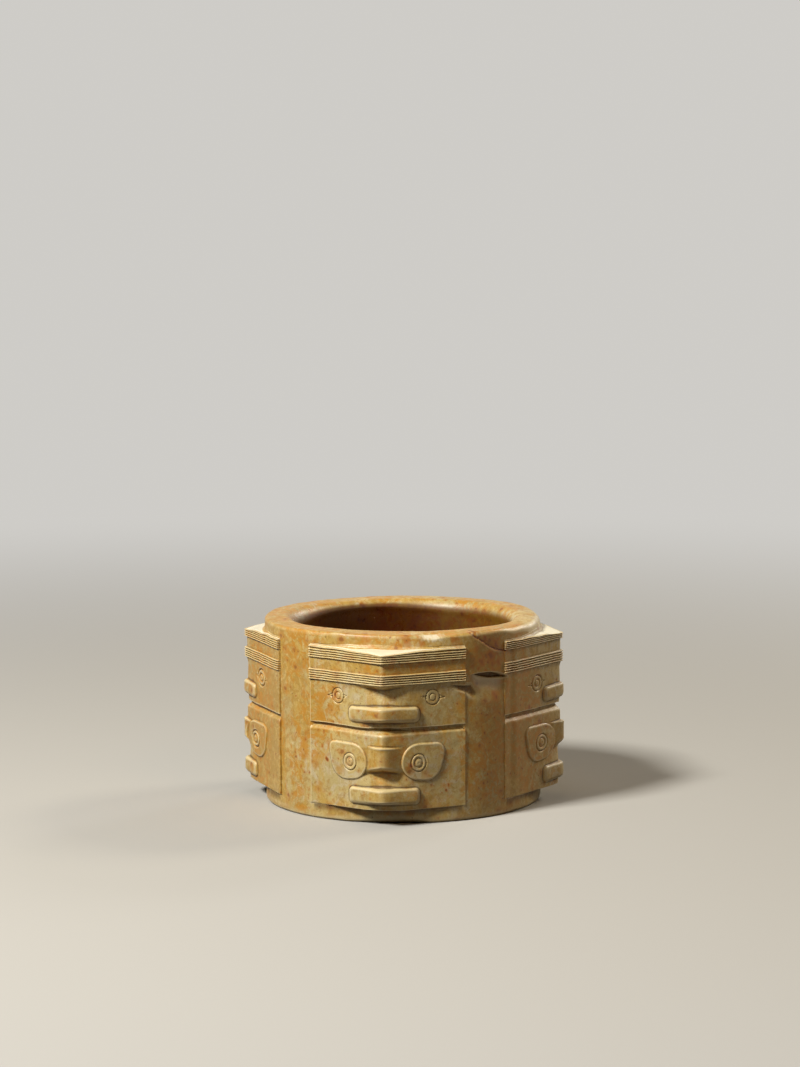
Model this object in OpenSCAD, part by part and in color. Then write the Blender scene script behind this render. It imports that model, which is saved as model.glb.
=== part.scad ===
// Jade cong: a stone tube, round inside and squared by four carved corner blocks.
// The origin is on the bore's axis in the foot plane, with +Z up. The four plain
// channels face the X and Y axes and the four corners face the diagonals.
// Each corner has two registers, one above the other, each with an animal mask
// folded round the corner edge: eyes on the two faces and a nose bar across.

/* [Tube] */
// Radius of the bore
bore_r = 31.4; // [29:0.1:36]
// Thickness of the tube's wall at the collar, foot and channels
wall = 8.6; // [6:0.1:11]
// Rounding of the tube's outer edges at the rim and foot
rim_round = 0.8; // [0.3:0.1:1.5]
// Rounding of the bore's two mouths
mouth_round = 1.6; // [0.5:0.1:2.5]
// Height of the round collar above the blocks
collar_h = 4; // [2.5:0.1:8]
// Height of the round foot below the blocks
foot_h = 4.5; // [2.5:0.1:8]

/* [Corner blocks] */
// How far a plain face stands out of the tube where they are closest
face_rise = 0.22; // [0.1:0.01:1.5]
// Angle between the two faces that meet at a corner edge
corner_angle = 120.6; // [116:0.1:124]
// Width of the four plain channels between the blocks
channel_w = 13.8; // [9:0.1:17]
// Angle by which the channels beside the front right block lean towards it
front_lean = 2; // [0:0.1:3]
// Height of the groove between the two registers
groove_h = 1.8; // [1:0.1:4]
// Depth of that groove at the corner edge
groove_depth = 0.85; // [0.4:0.05:1.5]

/* [Upper register] */
// Height of each of the two ridged bands
band_h = 3.2; // [2:0.1:5]
// Height of the plain strip between the bands
strip_h = 3; // [1.5:0.1:5]
// How far the bands and nose bars stand out of the plain faces
relief = 0.55; // [0.3:0.05:1.2]
// Number of ridges in a band
ridges = 5; // [3:1:7]
// Width of the fine grooves between the ridges
ridge_gap = 0.2; // [0.1:0.05:0.3]
// Depth of those grooves
ridge_depth = 0.25; // [0.1:0.05:0.28]
// Height of the scooped zone between the lower band and the nose bar
upper_scoop_h = 6.1; // [4:0.1:8]
// Depth of that scoop at the corner edge
upper_scoop_depth = 0.75; // [0.3:0.05:1.2]
// Height of the upper nose bar
upper_nose_h = 4.5; // [3:0.1:7]
// Plain strip below the upper nose bar
upper_gap = 1.6; // [1:0.1:4]
// Distance of an upper eye's centre from the corner edge, along the face
upper_eye_u = 15.4; // [14:0.1:18]
// Radius of an upper eye's outer ring
upper_eye_r = 2.3; // [1.6:0.1:2.8]
// Radius of an upper eye's pupil ring
upper_pupil_r = 0.95; // [0.6:0.05:1.2]
// Length of the pointed cut at each side of an upper eye
canthus = 1.1; // [0.5:0.1:1.8]

/* [Lower register] */
// Plain strip between the register's top and the brow
brow_gap = 3.2; // [1.5:0.1:5]
// Height of the raised brow that crosses the corner between the lids
brow_h = 5.7; // [4:0.1:8]
// How far the brow and the lids stand out of the plain faces
lid_relief = 0.45; // [0.3:0.05:1]
// Height of the scooped zone between the brow and the lower nose bar
lower_scoop_h = 6.2; // [4:0.1:8]
// Depth of that scoop at the corner edge
lower_scoop_depth = 0.95; // [0.3:0.05:1.4]
// Height of the lower nose bar
lower_nose_h = 4.8; // [3:0.1:7]
// Plain strip below the lower nose bar
lower_gap = 1.6; // [1:0.1:4]
// Distance of an eye's centre from the corner edge, along the face
eye_u = 11.1; // [10.5:0.1:13]
// Height of an eye's centre above the brow's lower edge
eye_rise = 0.5; // [0:0.1:2]
// Radius of an eye's outer ring
eye_r = 2.4; // [1.8:0.1:2.8]
// Radius of an eye's pupil ring
pupil_r = 0.95; // [0.6:0.05:1.2]
// Width of an oval lid
lid_w = 14.2; // [13:0.1:15.5]
// Height of an oval lid
lid_h = 10.7; // [9:0.1:11.5]

/* [Shared carving] */
// How far the nose bars reach from the corner edge along each face
nose_reach = 11.9; // [9:0.1:13]
// Rounding of the nose bars' ends
nose_round = 1; // [0.4:0.1:1.4]
// Width of the incised lines
line_w = 0.3; // [0.15:0.05:0.4]
// Depth of the incised lines
line_depth = 0.2; // [0.1:0.05:0.3]

/* [Hidden] */
CORNERS = ["front_right", "back_right", "back_left", "front_left"];
PARTS = ["upper_register", "lower_register", "ridge_bands", "upper_nose",
         "lower_nose", "brow", "eyes"];
$fn = 96;

tube_r = bore_r + wall;
face_r = tube_r + face_rise;
face_tilt = 90 - corner_angle / 2;
corner_r = face_r / cos(face_tilt);
groove_rise = face_rise / 4;

// Heights, from the foot plane up
lower_z = foot_h;
lower_nose_z = lower_z + lower_gap;
lower_scoop_z = lower_nose_z + lower_nose_h;
brow_z = lower_scoop_z + lower_scoop_h;
lower_top_z = brow_z + brow_h + brow_gap;
upper_z = lower_top_z + groove_h;
upper_nose_z = upper_z + upper_gap;
upper_scoop_z = upper_nose_z + upper_nose_h;
band_2_z = upper_scoop_z + upper_scoop_h;
band_1_z = band_2_z + band_h + strip_h;
ledge_z = band_1_z + band_h;
height = ledge_z + collar_h;

eye_z = brow_z + eye_rise;
upper_eye_z = upper_scoop_z + 0.3 * upper_scoop_h;
ridge_pitch = (band_h + ridge_gap) / ridges;

// Far enough along a face to end inside the next channel
face_reach = corner_r * 0.66;
// Beyond the outside of the whole tube
beyond = 2 * corner_r;
// Stands in for any small overlap that a cut needs
over = 1;

stone = "#d3bc93";
stone_light = "#e2d2ae";
stone_warm = "#c9a469";

// Direction of corner i, and of channel i, which lies just before it
function corner_turn(i) = -45 + 90 * i;
function channel_turn(i) = 90 * i - 90 + (i == 0 ? front_lean : i == 1 ? -front_lean : 0);

// Where a line at distance d from the axis, tilted as a face is, has its corner
function corner_at(d) = d / cos(face_tilt);

// End of a face whose plane lies at distance d, on one side of the corner
function face_end(d, side) =
    [corner_at(d) - face_reach * sin(face_tilt), side * face_reach * cos(face_tilt)];

// Plan of a corner block whose faces lie at distance d from the axis
module corner_plan(d) {
    polygon([[0, 0], face_end(d, -1), [corner_at(d), 0], face_end(d, 1)]);
}

// Whatever stands in the channels on both sides of corner i, as plan shapes
module channels_beside(i) {
    for (k = [i, (i + 1) % 4])
        rotate([0, 0, channel_turn(k) - corner_turn(i)])
            translate([0, -channel_w / 2])
                square([beyond, channel_w]);
}

// A slab of corner i between two heights, from the tube out to distance d
module block_slab(i, d, z0, z1) {
    translate([0, 0, z0])
        linear_extrude(z1 - z0)
            difference() {
                corner_plan(d);
                circle(tube_r);
                channels_beside(i);
            }
}

// A raised slab lying on the plain faces of corner i
module relief_slab(i, rise, z0, z1) {
    translate([0, 0, z0])
        linear_extrude(z1 - z0)
            difference() {
                corner_plan(face_r + rise);
                corner_plan(face_r);
                channels_beside(i);
            }
}

// Lays a drawing on one face: its x runs along the face from the corner edge,
// its y runs up, and it is extruded outwards from depth below the plain face
module on_face(side, depth, rise) {
    mirror([0, side < 0 ? 1 : 0, 0])
        translate([corner_r, 0, 0])
            rotate([0, 0, face_tilt])
                rotate([90, 0, 90])
                    translate([0, 0, -depth])
                        linear_extrude(depth + rise)
                            children();
}

// The half of space on one side of the corner's middle plane
module half_space(side) {
    translate([0, side < 0 ? -beyond : 0, -over])
        cube([beyond, beyond, height + 2 * over]);
}

// A round-edged bar folded across the corner edge
module folded_bar(reach, rise, z0, h, edge_round) {
    for (side = [-1, 1])
        intersection() {
            on_face(side, 0, rise) {
                translate([-over, z0])
                    square([reach - edge_round + over, h]);
                translate([-over, z0 + edge_round])
                    square([reach + over, h - 2 * edge_round]);
                for (y = [z0 + edge_round, z0 + h - edge_round])
                    translate([reach - edge_round, y])
                        circle(edge_round);
            }
            half_space(side);
        }
}

// A cylinder-shaped scoop across the corner edge between two heights
module corner_scoop(z0, h, depth) {
    scoop_r = (h * h / 4 + depth * depth) / (2 * depth);
    translate([corner_r - depth + scoop_r, 0, z0 + h / 2])
        rotate([90, 0, 0])
            cylinder(r = scoop_r, h = corner_r, center = true);
}

module ring_line(r) {
    difference() {
        circle(r);
        circle(r - line_w);
    }
}

// An upper eye is only incised: two rings and a short pointed cut at each side
module upper_eye_lines() {
    translate([upper_eye_u, upper_eye_z]) {
        ring_line(upper_eye_r);
        ring_line(upper_pupil_r);
        for (side = [-1, 1])
            polygon([[side * (upper_eye_r - line_w / 2), line_w],
                     [side * (upper_eye_r + canthus), 0],
                     [side * (upper_eye_r - line_w / 2), -line_w]]);
    }
}

// Outline of a lid: wide and round towards the corner, rising to a narrower end
module lid_outline() {
    translate([eye_u, eye_z])
        hull() {
            translate([-0.18 * lid_w, 0.18 * lid_h])
                circle(0.335 * lid_h, $fn = 32);
            translate([0.39 * lid_w, 0.29 * lid_h])
                circle(0.235 * lid_h, $fn = 32);
            translate([0.06 * lid_w, -0.18 * lid_h])
                circle(0.29 * lid_h, $fn = 32);
            translate([-0.26 * lid_w, -0.12 * lid_h])
                circle(0.26 * lid_h, $fn = 32);
        }
}

module lids(depth, rise) {
    for (side = [-1, 1])
        on_face(side, depth, rise)
            lid_outline();
}

// Half of the tube's wall, cut through the axis, with its four edges rounded
module wall_section() {
    difference() {
        translate([bore_r, 0])
            square([wall, height]);
        for (top = [0, 1])
            translate([0, top * height])
                mirror([0, top, 0]) {
                    edge_notch(tube_r, rim_round, 1);
                    edge_notch(bore_r, mouth_round, -1);
                }
    }
}

// What rounding takes off a square edge that points outwards (1) or inwards (-1)
module edge_notch(x, r, way) {
    difference() {
        translate([way > 0 ? x - r : x - over, -over])
            square([r + over, r + over]);
        translate([x - way * r, r])
            circle(r);
    }
}

module tube() {
    color(stone)
        rotate_extrude()
            wall_section();
}

module upper_register(i) {
    color(stone)
        difference() {
            union() {
                block_slab(i, face_r, upper_z, ledge_z);
                intersection() {
                    block_slab(i, tube_r + groove_rise, lower_top_z, upper_z);
                    cylinder(r = corner_r - groove_depth, h = height);
                }
            }
            corner_scoop(upper_scoop_z, upper_scoop_h, upper_scoop_depth);
            for (side = [-1, 1])
                on_face(side, line_depth, over)
                    upper_eye_lines();
        }
}

module lower_register(i) {
    color(stone)
        difference() {
            block_slab(i, face_r, lower_z, lower_top_z);
            corner_scoop(lower_scoop_z, lower_scoop_h, lower_scoop_depth);
        }
}

// Two bands, each a backing with fine ridges standing out of it
module ridge_bands(i) {
    color(stone_light)
        for (z = [band_2_z, band_1_z]) {
            relief_slab(i, relief - ridge_depth, z, z + band_h);
            for (k = [0 : ridges - 1])
                relief_slab(i, relief, z + k * ridge_pitch, z + (k + 1) * ridge_pitch - ridge_gap);
        }
}

module upper_nose() {
    color(stone_light)
        folded_bar(nose_reach, relief, upper_nose_z, upper_nose_h, nose_round);
}

module lower_nose() {
    color(stone_light)
        folded_bar(nose_reach, relief, lower_nose_z, lower_nose_h, nose_round);
}

// The raised brow fills the space between the two lids
module brow() {
    color(stone_warm)
        difference() {
            folded_bar(eye_u - eye_r, lid_relief, brow_z, brow_h, nose_round);
            lids(over, lid_relief + over);
        }
}

module eyes() {
    color(stone_light)
        difference() {
            lids(0, lid_relief);
            for (side = [-1, 1])
                on_face(side, line_depth - lid_relief, lid_relief + over)
                    translate([eye_u, eye_z]) {
                        ring_line(eye_r);
                        ring_line(pupil_r);
                    }
        }
}

tube();
for (i = [0 : 3]) rotate([0, 0, corner_turn(i)]) {
    upper_register(i);
    lower_register(i);
    ridge_bands(i);
    upper_nose();
    lower_nose();
    brow();
    eyes();
}
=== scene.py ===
"""Jade cong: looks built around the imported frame.

The stone is carved as one height field round the axis. A block's surface is worked out
in the terms of its own corner: u runs along a face from the corner edge, z runs up.
Lengths are millimetres until a mesh is made; the stage, lamps and camera are in metres.
"""
import math

import bpy
import numpy as np
from mathutils import Matrix, Vector


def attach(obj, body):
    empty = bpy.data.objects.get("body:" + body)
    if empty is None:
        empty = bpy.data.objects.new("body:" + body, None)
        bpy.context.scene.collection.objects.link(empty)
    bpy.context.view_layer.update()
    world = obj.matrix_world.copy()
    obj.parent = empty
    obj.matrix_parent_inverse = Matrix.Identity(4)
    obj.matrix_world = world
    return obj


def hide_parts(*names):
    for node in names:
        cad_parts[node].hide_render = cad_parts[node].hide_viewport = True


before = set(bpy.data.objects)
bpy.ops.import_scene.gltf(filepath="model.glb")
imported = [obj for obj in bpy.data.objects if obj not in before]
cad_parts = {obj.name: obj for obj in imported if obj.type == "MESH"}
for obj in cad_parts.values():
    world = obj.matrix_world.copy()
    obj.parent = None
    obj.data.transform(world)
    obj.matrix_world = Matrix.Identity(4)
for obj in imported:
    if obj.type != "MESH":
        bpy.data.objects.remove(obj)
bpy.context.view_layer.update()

MM = 0.001

# ---- sizes of the stone
BORE_R = 31.4
TUBE_R = 40.0
HEIGHT = 53.4
FACE_R = 40.22                      # distance of a plain face's plane from the axis
TILT = math.radians(29.7)           # turn of a face from the corner's direction
CHANNELS = (-88.0, -2.0, 90.0, 180.0)   # directions of the plain channels, in degrees
CHANNEL_HALF = 6.9                  # half of a channel's width
LOWER_NOSE = (6.1, 10.9)            # lower and upper edges of the bars and the brow
BROW = (17.1, 22.8)
UPPER_NOSE = (29.4, 33.9)
BANDS = (40.0, 46.2)                # lower edges of the two ridged bands
BAND_H = 3.2
RIDGES = 5
RELIEF = 0.55                       # how far the bands and the lids stand out
LID_RELIEF = 0.45
LEDGE_FALL = 0.155                  # slope of the ledge on top of a block
DEEPEST_R = TUBE_R - 2.2            # the deepest that damage goes into a block
ROOT_R = 39.6                       # where a block ends inside the tube's wall
HIDDEN_R = 38.5                     # how deep the tube lies under a block
BACK_R = HIDDEN_R - 0.4             # a block's plain back, deeper still

# Heights where the carving changes. Each block has its own, which differ a little.
LEVELS = (0.0, 4.5, 6.1, 10.9, 17.1, 22.8, 26.0, 27.8, 29.4, 33.9, 40.0, 43.2, 46.2, 49.4)

# Rows of the tube's mesh round its edges, rim and bore
FOOT_ROWS = 6
EDGE_ROWS = 8
RIM_ROWS = 14
MOUTH_ROWS = 10
BORE_ROWS = 42

# Steps across a block's ledge, and up the fillet behind it
LEDGE_STEPS = (0.012, 0.04, 0.09, 0.16, 0.24, 0.33, 0.42, 0.51, 0.6, 0.69, 0.78, 0.86, 0.93, 1.0)
FILLET_STEPS = (0.2, 0.4, 0.6, 0.8, 1.0)


def block(name, turn, sides, seed, levels, **facts):
    """Facts of a block; a pair is for the faces on the corner edge's - and + side."""
    usual = {"eye_cut": (1.0, 1.0), "eye_drop": (0.0, 0.0), "lid_wide": (1.0, 1.0),
             "raised_end": 0.0, "sunk_end": 0.0}
    usual.update(facts, name=name, turn=turn, sides=sides, seed=seed)
    usual["levels"] = LEVELS[:2] + levels
    return usual


BLOCKS = [
    block("front_right", -45.0, (-88.0, -2.0), 11,
          (6.1, 10.9, 17.1, 22.8, 26.0, 27.6, 29.2, 33.8, 39.7, 42.9, 45.9, 49.1),
          upper_eye=(15.35, 15.4), lower_eye=(11.1, 11.0), reach=11.4, round=1.4,
          lid_corner=(2.0, 2.8), lid_shift=(0.0, 0.7), upper_scoop=1.35, lower_scoop=1.5,
          raised_end=0.15),
    block("back_right", 45.0, (-2.0, 90.0), 23,
          (6.1, 10.9, 17.6, 23.1, 26.4, 28.4, 29.7, 34.1, 40.2, 43.6, 46.9, 49.4),
          upper_eye=(12.4, 15.2), lower_eye=(10.9, 11.0), reach=9.7, round=0.5,
          eye_cut=(1.35, 1.0), eye_drop=(0.7, 0.0), lid_wide=(1.13, 1.0),
          lid_corner=(2.2, 2.0), lid_shift=(-0.6, 0.3), upper_scoop=0.1, lower_scoop=0.35,
          sunk_end=0.34),
    block("back_left", 135.0, (90.0, 180.0), 37,
          (6.2, 10.9, 17.2, 22.9, 26.1, 27.9, 29.5, 33.9, 39.9, 43.2, 46.2, 49.3),
          upper_eye=(15.1, 14.9), lower_eye=(11.1, 10.9), reach=11.2, round=1.1,
          lid_wide=(1.0, 1.05), lid_corner=(2.1, 2.3), lid_shift=(0.2, 0.2),
          upper_scoop=0.35, lower_scoop=0.6),
    block("front_left", 225.0, (180.0, 272.0), 53,
          (6.0, 10.7, 17.0, 22.4, 26.0, 27.6, 29.3, 33.7, 40.2, 43.35, 46.3, 49.2),
          upper_eye=(15.0, 13.2), lower_eye=(10.8, 9.1), reach=9.2, round=0.6,
          eye_cut=(1.0, 1.6), lid_wide=(1.0, 1.22), lid_corner=(2.0, 2.2),
          lid_shift=(0.3, 0.0), upper_scoop=0.1, lower_scoop=0.3),
]


# ---- small helpers
def smooth(x, low, high):
    t = np.clip((x - low) / (high - low), 0.0, 1.0)
    return t * t * (3.0 - 2.0 * t)


def bulge(t):
    """A quarter circle: 0 up to t = 0 and 1 from t = 1 on."""
    t = np.clip(t, 0.0, 1.0)
    return np.sqrt(np.maximum(1.0 - (1.0 - t) ** 2, 0.0))


def waves(seed, size, *coords):
    """Soft seeded unevenness of about -1 to 1, with features of about the given size."""
    rng = np.random.default_rng(seed)
    total = 0.0
    count = 14
    for _ in range(count):
        way = rng.normal(size=len(coords))
        way *= 2.0 * math.pi / size * rng.uniform(0.5, 1.3) / np.linalg.norm(way)
        total = total + np.cos(sum(w * c for w, c in zip(way, coords))
                               + rng.uniform(0.0, 2.0 * math.pi))
    return total * math.sqrt(2.0 / count) * 0.6


def quarter(k):
    """For the share k of a quarter turn: its sine, and how far its cosine is below 1."""
    a = k * math.pi / 2.0
    return math.sin(a), 1.0 - math.cos(a)


def steps(*runs):
    """Positions from runs of (end, spacing); the first run only gives the start."""
    out = [runs[0][0]]
    for end, gap in runs[1:]:
        n = max(1, int(round((end - out[-1]) / gap)))
        out.extend(np.linspace(out[-1], end, n + 1)[1:])
    return np.array(out)


def box_blur(a, k):
    """Mean over k cells to each side, along both axes."""
    for axis in (0, 1):
        pad = [(0, 0), (0, 0)]
        pad[axis] = (k + 1, k)
        c = np.cumsum(np.pad(a, pad, mode="edge"), axis=axis)
        n = a.shape[axis]
        hi = np.take(c, np.arange(2 * k + 1, 2 * k + 1 + n), axis=axis)
        lo = np.take(c, np.arange(0, n), axis=axis)
        a = (hi - lo) / (2 * k + 1)
    return a


def place(theta, r, z):
    """Points at an angle and a distance from the axis, and at a height."""
    return np.stack([r * np.cos(theta), r * np.sin(theta), z], axis=-1)


# ---- carving on one block
def folded_radius(phi, d, w):
    """Radius of two face planes at distance d, their corner edge rounded by w."""
    c, s, t = np.cos(phi), np.sin(phi), math.tan(TILT)
    x0 = d / math.cos(TILT)
    k = c * c - (t * s) ** 2
    root = np.sqrt(np.maximum(x0 * x0 * c * c - k * (x0 * x0 - t * t * w * w), 0.0))
    return (x0 * c - root) / k


def along_face(phi):
    """Signed distance from the corner edge, along the face, at an angle from it."""
    return np.sign(phi) * FACE_R * (math.tan(TILT) + np.tan(np.abs(phi) - TILT))


def turn_at(u):
    """The angle from the corner edge at a distance along the face."""
    return TILT + np.arctan(u / FACE_R - math.tan(TILT))


def lid_distance(u, z, eye_u, eye_z, corner):
    """Signed distance to a lid's outline, the hull of three circles (negative inside)."""
    circles = ((-0.7, 0.3, 5.15), (7.35 - corner, 5.2 - 0.9 * corner, corner), (1.7, -0.4, 4.75))
    best = np.full(np.broadcast(u, z).shape, -1e9)
    for k in range(64):
        a = 2.0 * math.pi * k / 64
        nx, nz = math.cos(a), math.sin(a)
        reach = max(x * nx + y * nz + r for x, y, r in circles)
        best = np.maximum(best, (u - eye_u) * nx + (z - eye_z) * nz - reach)
    return best


def bar_distance(u, z, reach, low, high, corner):
    """Signed distance to a bar's outline, a rectangle with rounded corners."""
    mid, half = (low + high) / 2.0, (high - low) / 2.0
    qx = np.abs(u) - (reach - corner)
    qz = np.abs(z - mid) - (half - corner)
    outside = np.hypot(np.maximum(qx, 0.0), np.maximum(qz, 0.0))
    return outside + np.minimum(np.maximum(qx, qz), 0.0) - corner


def bar_lift(b, u, z, low, high, corner):
    """Rise of a nose bar: a rounded edge above and a softer one below."""
    bow = 0.25 * smooth(np.abs(u), 0.0, b["reach"])
    d = bar_distance(u, z + bow, b["reach"], low + 0.1, high, corner)
    soft = 0.75 + 0.8 * smooth(low + high - 2.0 * z, -1.0, high - low)
    crown = 0.95 + 0.07 * smooth(-d, 0.4, 2.0) + 0.3 * (1.0 - smooth(np.abs(u), 0.0, 6.5))
    return bulge(-d / soft), crown


def dip(t, start, peak):
    """A hollow's depth: from its start at t = 0 to 1 at the peak, and 0 at t = 1."""
    return (start + (1.0 - start) * smooth(t, 0.0, peak)) * (1.0 - smooth(t, peak, 1.0))


def ring(u, z, cu, cz, ru, rz, width):
    """An incised ring line, 1 at its middle."""
    off = (np.hypot((u - cu) / ru, (z - cz) / rz) - 1.0) * math.sqrt(ru * rz)
    return np.exp(-(off / width) ** 2)


def cut_line(u, z, a, b, width):
    """An incised line between two points, which thins out towards b."""
    du, dz = b[0] - a[0], b[1] - a[1]
    t = np.clip(((u - a[0]) * du + (z - a[1]) * dz) / (du * du + dz * dz), 0.0, 1.0)
    off = np.hypot(u - a[0] - t * du, z - a[1] - t * dz)
    return np.exp(-(off / width) ** 2) * (1.0 - 0.4 * t)


def carve_upper(b, u, z):
    """Height above the plain face and rounding of the corner edge, upper register."""
    s = b["seed"]
    au = np.abs(u)
    h = 0.05 * waves(s, 14.0, u, z) + 0.02 * waves(s + 1, 4.0, u, z)
    w = b["round"] + (0.8 - b["round"]) * smooth(z, BANDS[0] + 0.5, BANDS[0] + 1.5)

    # Scoop under the lower band, deepest just below it
    t = np.clip((z - UPPER_NOSE[1]) / (BANDS[0] - UPPER_NOSE[1]), 0.0, 1.0)
    hollow = dip(t, 0.6 * (1.0 - smooth(au, 2.0, 8.0)), 0.72 + 0.12 * smooth(au, 0.0, 7.0))
    h = h - b["upper_scoop"] * hollow * (1.0 - smooth(au, 1.0, 9.5))
    w = w + 0.8 * b["round"] * hollow
    below = 1.0 - smooth(z, 28.4, 30.4)
    h = h - (0.15 + 0.5 * b["upper_scoop"]) * below * (1.0 - smooth(au, 0.5, 9.0))

    # Ridged bands
    for k, z0 in enumerate(BANDS):
        top = z0 + BAND_H
        wander = 0.014 * waves(s + 5 + k, 9.0, u) + 0.006 * waves(s + 7 + k, 2.5, u)
        t = (z - z0) / BAND_H
        body = bulge((z - z0) / 0.14) * bulge((top - z) / 0.14)
        line = np.abs(2.0 * np.mod(np.clip(t + wander * np.sin(math.pi * np.clip(t, 0, 1)),
                                           0.0, 0.9999) * RIDGES, 1.0) - 1.0)
        worn = 0.9 + 0.12 * waves(s + 9 + k, 9.0, u, z)
        h = h + body * (RELIEF - 0.66 * worn * line ** 2.2 - h)
        w = w + (0.4 - w) * body

    # Nose bar
    lift, crown = bar_lift(b, u, z, UPPER_NOSE[0], UPPER_NOSE[1], 1.5)
    h = h + (crown - h) * lift
    w = w + (1.7 - w) * lift

    # Eyes: two incised rings and a short pointed cut at each side
    for side, eye_u, broad in zip((-1.0, 1.0), b["upper_eye"], b["eye_cut"]):
        eu, ez = side * eye_u, UPPER_NOSE[1] + 2.1 - b["eye_drop"][int(side > 0.0)]
        wide = 1.0 + 0.7 * (broad - 1.0)
        h = h - 0.27 * broad * ring(u, z, eu, ez, 2.05 * wide, 2.25, 0.15 * broad)
        h = h - 0.2 * broad * ring(u, z, eu, ez, 0.95 * wide, 1.05, 0.14 * broad)
        core = np.hypot((u - eu) / 0.8, (z - ez) / 0.9)
        h = h + 0.07 * bulge(1.0 - core)
        for out in (-1.0, 1.0):
            tip = (eu + out * (3.2 + 0.3 * side * out) * wide, ez - 0.25 * out * side)
            for rise in (-0.4, 0.45):
                a = (eu + out * 2.0 * wide, ez + rise)
                h = h - 0.26 * cut_line(u, z, a, tip, 0.15)
    return h, w


def carve_lower(b, u, z):
    """Height above the plain face and rounding of the corner edge, lower register."""
    s = b["seed"] + 100
    au = np.abs(u)
    h = 0.05 * waves(s, 14.0, u, z) + 0.02 * waves(s + 1, 4.0, u, z)
    w = 0.8 + 0.6 * b["round"] * (1.0 - smooth(z, BROW[1] - 1.2, BROW[1] + 0.5))

    # Scoop between the brow and the nose bar
    t = np.clip((z - LOWER_NOSE[1]) / (BROW[0] - 0.1 - LOWER_NOSE[1]), 0.0, 1.0)
    hollow = dip(t, 0.65 * (1.0 - smooth(au, 2.0, 8.0)), 0.62)
    h = h - b["lower_scoop"] * hollow * (1.0 - smooth(au, 1.0, 8.4))
    w = w + 0.6 * b["round"] * hollow

    # Brow across the corner edge: crisp above, running out below
    upper = bulge((BROW[1] - 0.06 * au - 0.05 * u - z) / 0.5)
    across = upper * smooth(z + 0.2 * au, BROW[0] - 1.6, BROW[0] + 0.3)
    level = 1.1 * (1.0 - smooth(au, 0.5, 6.6))
    h = h + np.maximum(level - h, 0.0) * across

    # Lids with the rings of the eyes
    for side, eye_u, broad in zip((-1.0, 1.0), b["lower_eye"], b["eye_cut"]):
        eu, ez = side * eye_u, BROW[0] + 0.5
        which = int(side > 0.0)
        middle = eye_u + b["lid_shift"][which]
        lid_u = middle + (side * u - middle) / b["lid_wide"][which]
        d = lid_distance(lid_u, z, middle, ez, b["lid_corner"][which])
        lift = bulge(-d / 0.62) * smooth(side * u, 0.5, 1.5)
        h = h + (LID_RELIEF + 0.05 * smooth(-d, 0.3, 4.0) - h) * lift
        wide = 1.0 + 0.7 * (broad - 1.0)
        h = h - 0.26 * broad * ring(u, z, eu, ez, 2.25 * wide, 2.45, 0.155 * broad)
        h = h + 0.08 * ring(u, z, eu, ez, 1.75 * wide, 1.95, 0.35)
        h = h - 0.2 * broad * ring(u, z, eu, ez, 1.2 * wide, 1.3, 0.145 * broad)
        core = np.hypot((u - eu) / 0.85, (z - ez) / 0.9)
        h = h + 0.12 * bulge((1.0 - core) / 0.6) - 0.15 * np.exp(-(core / 0.18) ** 2)

    # Nose bar
    lift, crown = bar_lift(b, u, z, LOWER_NOSE[0], LOWER_NOSE[1] + 0.1, 1.4)
    h = h + (crown - h) * lift
    w = w + (1.8 - w) * lift
    return h, w


def carve_groove(h, w, z):
    """Groove between the registers: sharp above, with a bevelled lip below."""
    cut = np.interp(z, (25.4, 25.65, 25.9, 26.75, 27.66, 27.8), (0.0, 0.04, 0.16, 1.0, 1.0, 0.0))
    return h - 0.8 * cut, w + 0.5 * cut


def block_radius(b, phi, z, upper):
    """Distance of a carved block's surface from the axis, before any damage."""
    u = along_face(phi)
    h, w = (carve_upper if upper else carve_lower)(b, u, z)
    h, w = carve_groove(h, w, z)
    ends = smooth(np.abs(u), 19.0, 25.5) * waves(b["seed"] + 60, 8.0, z) * 0.04
    ends = ends + b["raised_end"] * np.exp(-((u + 25.25) / 0.3) ** 2)
    ends = ends - b["sunk_end"] * smooth(-u, 22.5, 25.6)
    return folded_radius(phi, FACE_R + h + ends, w)


# ---- damage and wear
def wedge_mark(theta, z):
    """The saw mark's shallow end, which bites a dark wedge out of the front block."""
    x = theta * TUBE_R
    top = np.interp(x, (-13.6, -11.8, -8.3, -6.0), (38.6, 38.75, 38.3, 38.2))
    tall = np.interp(x, (-13.6, -11.0, -8.3, -6.0), (0.3, 1.4, 2.2, 3.6))
    fade = 0.75 * (38.6 - z)
    run = np.clip((x + 13.6) / 5.0, 0.0, 1.0) * (x < 0.0)
    run = run * (1.0 - smooth(x, fade - 7.9, fade - 5.6))
    t = np.clip((top - z) / tall, -1.0, 1.0)
    return 1.1 * run * smooth(t, 0.0, 0.08) * (1.0 - np.clip(t, 0.0, 1.0)) ** 0.8


def saw_mark(theta, z):
    """How far the old saw mark in the right channel cuts into the stone."""
    x = theta * TUBE_R
    down = 41.5 - 0.022 * (x + 2.2) ** 2 - 0.05 * np.maximum(x, 0.0) - z
    across = 1.0 - ((x - 0.5) / 6.3) ** 2
    start = smooth(down, 0.0, 0.1)
    tall = 1.9 * across
    slot = 3.2 * np.maximum(across, 0.0) ** 0.4 * (1.0 - smooth(down, tall - 0.5, tall + 0.1))
    bowl = 1.75 * np.clip(1.0 - down / 8.6, 0.0, 1.0) ** 1.5
    bowl = bowl * (1.0 - smooth(np.abs(x + 0.2), 2.4, 7.6))
    bowl = start * np.maximum(bowl, slot)
    return np.maximum(bowl, wedge_mark(theta, z))


# The fracture below the rim: (angle in degrees, height) along it
CRACK = ((-9.9, 53.3), (-7.3, 51.8), (-4.6, 50.8), (-1.5, 49.3), (1.2, 48.2), (4.6, 47.4),
         (8.7, 46.9))


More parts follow.
